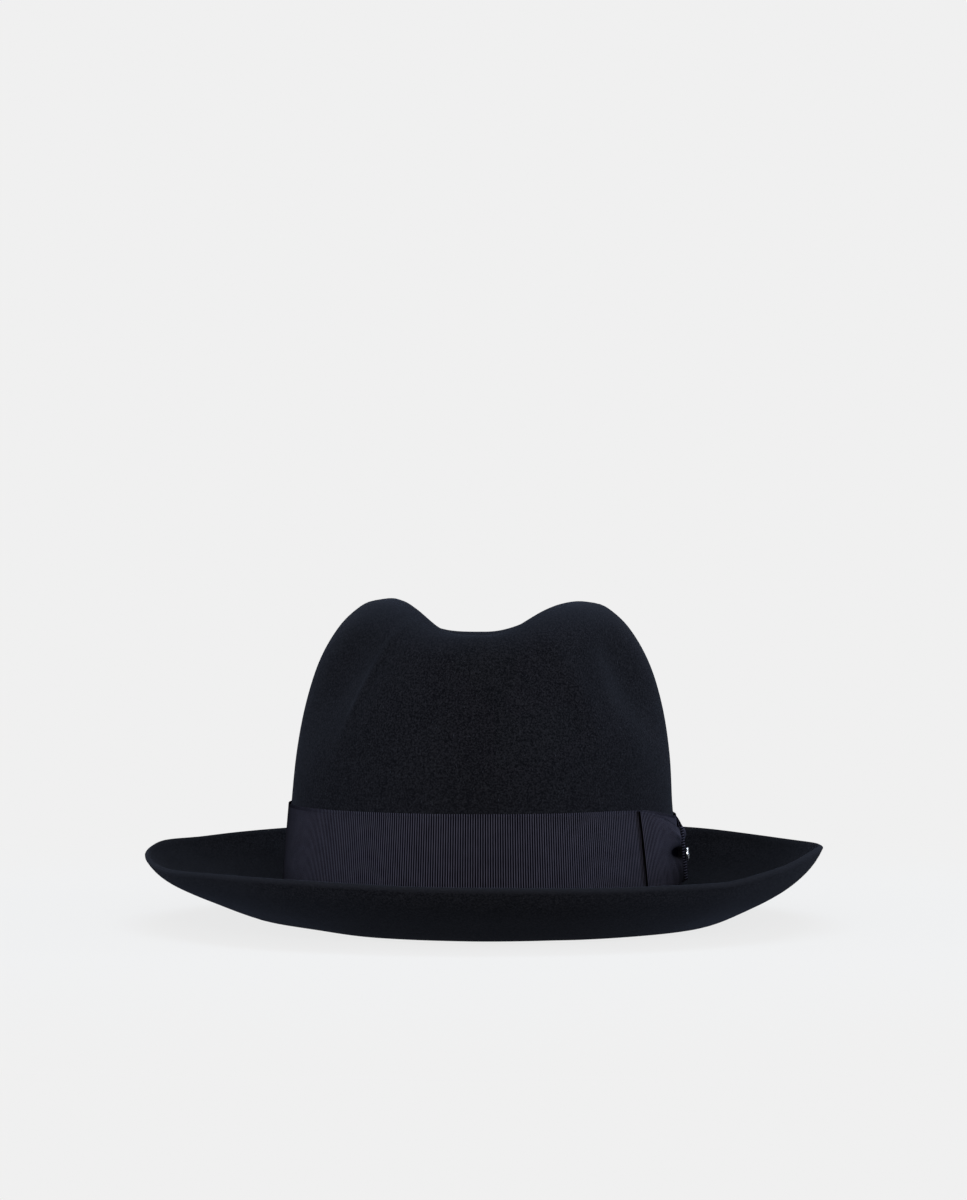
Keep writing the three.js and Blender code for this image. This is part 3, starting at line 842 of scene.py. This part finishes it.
def outer_stand(side, away, across):
    """How far the outer layer of a loop stands off its seat, at a share away from the knot."""
    near = max(0, 1 - away)
    above = loop_height(side, away, across) - HOLLOW["height"]
    stand = mix(LOOP_MIDDLE_STAND, mix(*LOOP_END_STANDS, across + 0.5), away ** LOOP_END_POWER)
    stand -= HOLLOW["depth"] * hollow_at(away, above, HOLLOW["opening"])
    for lobe in (UPPER_LOBE, LOWER_LOBE):
        swell = LOBES["swell"] * lobe["share"] * bell(above - lobe["middle"], LOBES["half_height"])
        stand += swell * bell(away - LOBES["away"], LOBES["reach"])
    ridge = RIDGE["swell"] * bell(away - RIDGE["away"], RIDGE["reach"])
    stand += ridge * bell(above - RIDGE["middle"] - RIDGE["climb"] * away, RIDGE["half_height"])
    pleats = PLEATS["depth"] * bell(above - PLEATS["middle"], PLEATS["half_height"]) * near
    stand += pleats * math.sin(PLEATS["along"] * away - PLEATS["up"] * above)
    fan = FAN["depth"] * bell(away - FAN["away"], FAN["reach"])
    fan *= bell(above - FAN["middle"], FAN["half_height"])
    stand += fan * math.sin(FAN["up"] * above - FAN["along"] * away)
    stand -= EDGE_ROLL * near ** 0.5 * (2 * abs(across)) ** EDGE_ROLL_POWER
    return mix(LOOP_KNOT_STAND, stand, 1 - bell(away, LOOP_KNOT_REACH))


def past_fold(length_share):
    """0 where the fold begins and 1 where it ends."""
    return (length_share - 0.5) * LOOP_RIBS / FOLD_RIBS + 0.5


def fold_shade_at(side, length_share, across):
    """How much painted shade a place on a loop gets for lying deep in a fold."""
    away = min(1, 2 * length_share)
    above = loop_height(side, away, across) - HOLLOW["height"]
    hollow = hollow_at(away, above, HOLLOW_SHADE_OPENING)
    lower = LOWER_SHADE["strength"] * bell(away / LOWER_SHADE["reach"], 1)
    lower *= bell(above - LOWER_SHADE["middle"], LOWER_SHADE["half_height"])
    side_on = SIDE_SHADE["strength"] * bell(away / SIDE_SHADE["reach"], 1)
    seam_shade = FRONT_SEAM_SHADE if side < 0 else BACK_SEAM_SHADE
    seam = seam_shade["strength"] * bell(away, seam_shade["reach"])
    if past_fold(length_share) < DARK_FROM_FOLD:
        inside = 0
    elif past_fold(length_share) < 1:
        inside = 1
    else:
        inside = UNDER_LAYER_SHADE * (1 - (2 * abs(across)) ** 3)
    return min(1, max(hollow + lower + side_on, seam, inside))


def loop_point(side, length_share, across):
    """A place on the ribbon of a loop, counted along its whole length from the knot and back."""
    fold = FOLD_RIBS / LOOP_RIBS
    half = (1 - fold) / 2
    if length_share < half:
        away = length_share / half
        stand = outer_stand(side, away, across)
    elif length_share > 1 - half:
        away = (1 - length_share) / half
        end_stand = outer_stand(side, 1, across) - 2 * FOLD_RADIUS
        stand = mix(LOOP_HEM_STAND, end_stand, away ** LOOP_HEM_DEPTH)
    else:
        angle = (length_share - half) / fold * math.pi
        stand = outer_stand(side, 1, across) - FOLD_RADIUS * (1 - math.cos(angle))
        away = 1 + FOLD_RADIUS * math.sin(angle) / LOOP_LENGTH
    start = KNOT_WIDTH / 2 - LOOP_UNDER_KNOT
    leaning = LOOP_LEAN * (across + 0.5) ** 2 * away ** 2
    along = side * (start + (LOOP_LENGTH + LOOP_UNDER_KNOT + LOOP_OVERRUN) * away + leaning)
    seat = BOW_SEAT + LOOP_SEAT
    return bow_turn(along), loop_height(side, away, across), seat + max(LOOP_LEAST_STAND, stand)


def make_loop(name, side, node):
    work = flat_ribbon(LOOP_RIBS, LOOP_ROWS, BAND_TOP - BAND_BOTTOM)
    layer = work.loops.layers.uv["fold"]
    # Painted shade of the folds goes into the fold map
    for face in work.faces:
        for corner in face.loops:
            corner[layer].uv = (fold_shade_at(side, corner.vert.co.x + 0.5, corner.vert.co.y), 0)
    for vert in work.verts:
        share, across = vert.co.x + 0.5, vert.co.y
        turn, height, stand = loop_point(side, share, across)
        outer_side = math.cos(math.pi * min(1, max(0, past_fold(share))))
        texture = rib_height(share * LOOP_RIBS) * LOOP_RIB_SHARE
        if abs(across) > LOOP_SELVEDGE["start"]:
            texture = texture * (1 - LOOP_SELVEDGE["without_ribs"]) + LOOP_SELVEDGE["proud"]
        vert.co = ribbon_point(turn, height, stand + outer_side * texture)
    thicken_ribbon(work, SEEN_FROM_LEFT, RIBBON_THICKNESS, LONGEST_EDGE)
    loop = place_piece(name, work, ribbon, "grosgrain", node)


make_loop("ribbon_front_loop", -1, "bow_front_loop")
make_loop("ribbon_back_loop", 1, "bow_back_loop")

# %% [markdown]
# The knot
#
# The knot is not tied. A short strip of the same ribbon goes once round the middle of the bow, so its ribs
# lie level while those of the loops stand upright. A flat strip is bent into that wrap, and its two ends meet
# at the back. A few soft folds run the way the strip does.

# %% Knot
KNOT_RIBS = 43
KNOT_ROWS = 18
KNOT_HALF_THICK = 1.1
KNOT_END_MARGIN = 0.4
KNOT_STRAIGHT = KNOT_HEIGHT / 2 - KNOT_END_MARGIN - KNOT_HALF_THICK
KNOT_LENGTH = 4 * KNOT_STRAIGHT + FULL_TURN * KNOT_HALF_THICK
KNOT_LIFT = 0.3
KNOT_WAIST = {"depth": 0.1, "half_height": 6}
KNOT_EDGE_DROP = 1.5
KNOT_FOLDS = {"depth": 0.32, "across": 19, "up": 0.05}
KNOT_RIB_SHARE = 0.8
# How strong the painted shade is towards the edges of the knot's strip
KNOT_EDGE_SHADE = 1.8


def wrap_point(distance):
    """Height and depth of a place on the wrap, at a distance along it from the middle of its face."""
    past = abs(distance) - KNOT_STRAIGHT
    if past < 0:
        up, out = abs(distance), KNOT_HALF_THICK
    elif past < math.pi * KNOT_HALF_THICK:
        angle = past / KNOT_HALF_THICK
        up, out = KNOT_STRAIGHT + KNOT_HALF_THICK * math.sin(angle), KNOT_HALF_THICK * math.cos(angle)
    else:
        up, out = KNOT_STRAIGHT - (past - math.pi * KNOT_HALF_THICK), -KNOT_HALF_THICK
    return math.copysign(up, distance), out


knot_work = flat_ribbon(KNOT_RIBS, KNOT_ROWS, KNOT_WIDTH)
# Painted shade towards the knot's edges goes into the fold map
painted_shade_map = knot_work.loops.layers.uv["fold"]
for face in knot_work.faces:
    for corner in face.loops:
        corner[painted_shade_map].uv = (KNOT_EDGE_SHADE * abs(corner.vert.co.y), 0)
for vert in knot_work.verts:
    across = vert.co.y
    height, out = wrap_point(vert.co.x * KNOT_LENGTH)
    facing_out = max(0, out / KNOT_HALF_THICK)
    waist = 1 - KNOT_WAIST["depth"] * bell(height, KNOT_WAIST["half_height"])
    drop = KNOT_EDGE_DROP * (2 * abs(across)) ** 3
    fold = KNOT_FOLDS["depth"] * math.sin(across * KNOT_FOLDS["across"] + height * KNOT_FOLDS["up"])
    rib = rib_height(vert.co.x * KNOT_RIBS) * KNOT_RIB_SHARE
    stand = BOW_SEAT + KNOT_HALF_THICK + KNOT_LIFT + out + (fold + rib - drop) * facing_out
    turn = bow_turn(KNOT_WIDTH * across * waist)
    vert.co = ribbon_point(turn, BOW_MIDDLE_HEIGHT + height, stand)
thicken_ribbon(knot_work, SEEN_FROM_LEFT, RIBBON_THICKNESS, LONGEST_EDGE)
knot = place_piece("ribbon_knot", knot_work, ribbon, "grosgrain", "bow_knot")

# %% [markdown]
# The stud
#
# A small metal disc is pinned to the middle of the knot. Its section has a rim that rounds over to a shallow
# dish with a low dome, which is enough to catch a line of light when it is seen on edge.

# %% Stud
STUD_RADIUS = 2.9
STUD_THICKNESS = 1.0
STUD_STEPS = 72
# Share of the radius and share of the thickness, from the middle of the back round to the middle of the face
STUD_LINE = [
    (0.0, 0.0), (0.90, 0.0), (0.97, 0.08), (1.0, 0.25), (1.0, 0.62), (0.97, 0.84), (0.91, 0.96), (0.84, 1.0),
    (0.77, 0.97), (0.71, 0.88), (0.66, 0.78), (0.60, 0.76), (0.45, 0.83), (0.25, 0.88), (0.0, 0.90),
]
stud_work = spin_line([(r * STUD_RADIUS, 0, h * STUD_THICKNESS) for r, h in STUD_LINE], STUD_STEPS)
stud_turn = bow_turn(0)
stud_out = Vector((*outward(stud_turn), 0))
stud_seat = ribbon_point(stud_turn, BOW_MIDDLE_HEIGHT, BOW_SEAT + KNOT_THICKNESS + TOUCHING_GAP)
facing = Vector((0, 0, 1)).rotation_difference(stud_out).to_matrix()
bmesh.ops.rotate(stud_work, cent=(0, 0, 0), matrix=facing, verts=stud_work.verts[:])
bmesh.ops.translate(stud_work, vec=stud_seat, verts=stud_work.verts[:])
bmesh.ops.scale(stud_work, vec=(MM, MM, MM), verts=stud_work.verts[:])
place_piece("knot_stud", stud_work, metal, "stud_metal", "bow_stud")

# %% [markdown]
# A plain studio
#
# The hat stands on pale paper that curves up behind, over and round it, so no line shows where the floor
# ends. The paper glows with one even colour, and near the hat it also takes a little light and shadow, which
# seats the brim. It lights nothing itself: the air does that, brightest in front of the hat and dim behind
# it, so the tones of a very dark felt can be set apart from those of the paper. Soft lights from the front,
# from above the back and from both sides draw the folds of the crown.

# %% Paper
PALE = 0.871
PAPER_HEIGHT = 12
PAPER_RINGS = (0, 1, 3)
PAPER_ANGLES = (0.15, 0.4, 0.7, 1.0, 1.3)
PAPER_STEPS = 64
PAPER_DROP = 0.0006
FLOOR_FLAT = 9.0
MATT_TONE = 0.8
CONTACT_SHARE = 0.1
CONTACT_DISTANCES = (0.15, 0.6)

paper_line = [(ring, 0, 0) for ring in (*PAPER_RINGS, FLOOR_FLAT)]
paper_line += [(FLOOR_FLAT * math.cos(a), 0, PAPER_HEIGHT * math.sin(a)) for a in PAPER_ANGLES]
paper_line += [(0, 0, PAPER_HEIGHT)]
paper_work = spin_line(paper_line, PAPER_STEPS)
bmesh.ops.translate(paper_work, vec=(0, 0, -PAPER_DROP), verts=paper_work.verts[:])
paper_data = bpy.data.meshes.new("paper")
paper_work.to_mesh(paper_data)
paper_work.free()
paper_sweep = bpy.data.objects.new("paper", paper_data)
bpy.context.scene.collection.objects.link(paper_sweep)
paper_sweep.visible_diffuse = False
paper_sweep.visible_glossy = False
paper_sweep.visible_shadow = False

paper = Finish("pale_paper")
glow = paper.node("ShaderNodeEmission", {}, {"Color": (PALE, PALE, PALE, 1), "Strength": 1.0})
matt = paper.node("ShaderNodeBsdfDiffuse", {}, {"Color": (MATT_TONE, MATT_TONE, MATT_TONE, 1)})
distance = paper.node("ShaderNodeVectorMath", {"operation": "LENGTH"}, {0: paper.place()}, output="Value")
share = CONTACT_SHARE * (1 - paper.ramp(distance, *CONTACT_DISTANCES))
blend = paper.node("ShaderNodeMixShader", {}, {0: share, 1: glow, 2: matt})
paper.tree.links.new(blend.socket, paper.tree.nodes["Material Output"].inputs["Surface"])
paper_data.materials.append(paper.material)
print("paper", len(paper_data.polygons), "faces")

# %% Air
AIR_FRONT_TO_REAR = (1.0, 0.62, 0.1)
AIR_LOW_TO_HIGH = (0.6, 1.0, 0.8)
AIR_COLOUR = (0.96, 0.98, 1.0, 1)

air = bpy.data.worlds.new("air")
air.use_nodes = True
air_tree = air.node_tree
heading = air_tree.nodes.new("ShaderNodeTexCoord")
parts = air_tree.nodes.new("ShaderNodeSeparateXYZ")
air_tree.links.new(heading.outputs["Generated"], parts.inputs[0])
graded = air_tree.nodes.new("ShaderNodeMath")
graded.operation = "MULTIPLY"
for index, (direction, strengths) in enumerate((("Y", AIR_FRONT_TO_REAR), ("Z", AIR_LOW_TO_HIGH))):
    level = air_tree.nodes.new("ShaderNodeMapRange")
    level.inputs["From Min"].default_value = -1
    ramp = air_tree.nodes.new("ShaderNodeValToRGB")
    ramp.color_ramp.elements.new(0.5)
    for stop, strength in zip(ramp.color_ramp.elements, strengths):
        stop.color = (strength, strength, strength, 1)
    air_tree.links.new(parts.outputs[direction], level.inputs["Value"])
    air_tree.links.new(level.outputs["Result"], ramp.inputs["Fac"])
    air_tree.links.new(ramp.outputs["Color"], graded.inputs[index])
air_tree.links.new(graded.outputs[0], air_tree.nodes["Background"].inputs["Strength"])
air_tree.nodes["Background"].inputs["Color"].default_value = AIR_COLOUR
bpy.context.scene.world = air
bpy.context.scene.view_settings.view_transform = "Standard"
print("air nodes", len(air_tree.nodes))


# %% Soft lights
SKY_BLUE = (0.66, 0.80, 1.0)
HIGH_BLUE = (0.72, 0.85, 1.0)
WARM_WHITE = (1.0, 0.98, 0.96)
# Name, place, target, width, height, power and colour
LIGHTS = [
    ("light_left", (-1.7, -0.25, 0.3), (0, 0, 0.1), 0.5, 0.4, 15, SKY_BLUE),
    ("light_right", (1.7, -0.15, 0.3), (0, 0, 0.1), 0.5, 0.4, 20, SKY_BLUE),
    ("light_back", (0.1, 0.8, 1.9), (0, 0, 0.1), 1.4, 0.7, 24, HIGH_BLUE),
    ("light_front", (0.1, -2.3, 0.7), (0, 0, 0.09), 1.2, 0.9, 31, WARM_WHITE),
]


def soft_light(name, place, target, width, height, power, colour):
    data = bpy.data.lights.new(name, "AREA")
    data.shape = "RECTANGLE"
    data.size = width
    data.size_y = height
    data.energy = power
    data.color = colour
    light = bpy.data.objects.new(name, data)
    light.location = place
    light.rotation_euler = (Vector(target) - Vector(place)).to_track_quat("-Z", "Y").to_euler()
    bpy.context.scene.collection.objects.link(light)


for row in LIGHTS:
    soft_light(*row)
print("lights", len(LIGHTS))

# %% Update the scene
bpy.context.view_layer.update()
